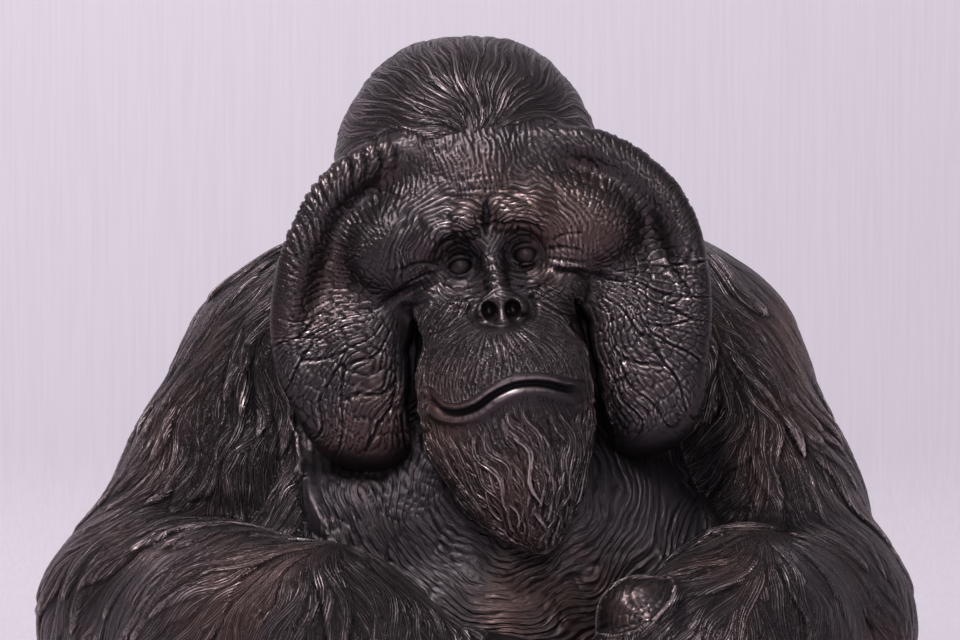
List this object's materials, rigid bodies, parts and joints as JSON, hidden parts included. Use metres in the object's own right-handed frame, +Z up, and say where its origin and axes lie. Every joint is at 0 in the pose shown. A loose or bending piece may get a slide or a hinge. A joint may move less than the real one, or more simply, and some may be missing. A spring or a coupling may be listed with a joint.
{
  "type": "orangutan figurine",
  "caption": "Dark bronze-look bust of a cheek-flanged orangutan with combed long hair, resting on its folded forearms, cast in parts and closed by a felted base plate.",
  "frame": {"origin": "middle of the felt sheet's underside, on the surface that the figurine stands on", "axes": "+Z up; the figure looks towards -Y; +X is to the viewer's right of a viewer who faces it"},
  "size_m": [0.4024, 0.263, 0.3192],
  "materials": {
    "bronze": "dark brown-black bronze patina, coppery on the ridges, satin",
    "steel": "plain drawn bar and zinc-plated screws",
    "plate": "matt black",
    "felt": "black wool felt"
  },
  "bodies": {
    "root": {"torso_shell": "bronze", "left_arm": "bronze", "right_arm": "bronze", "left_hand": "bronze", "right_hand": "bronze", "face": "bronze", "crown_hair": "bronze", "left_cheek_flange": "bronze", "right_cheek_flange": "bronze", "beard": "bronze", "left_eye": "bronze", "right_eye": "bronze", "neck_rod": "steel", "left_arm_rod": "steel", "right_arm_rod": "steel", "left_wrist_pin": "steel", "right_wrist_pin": "steel", "left_flange_pin": "steel", "right_flange_pin": "steel", "crown_pin_1": "steel", "crown_pin_2": "steel", "beard_pin": "steel", "plate_screw_1": "steel", "plate_screw_2": "steel", "plate_screw_3": "steel", "plate_screw_4": "steel", "base_plate": "plate", "felt_sheet": "felt"}
  },
  "joints": []
}
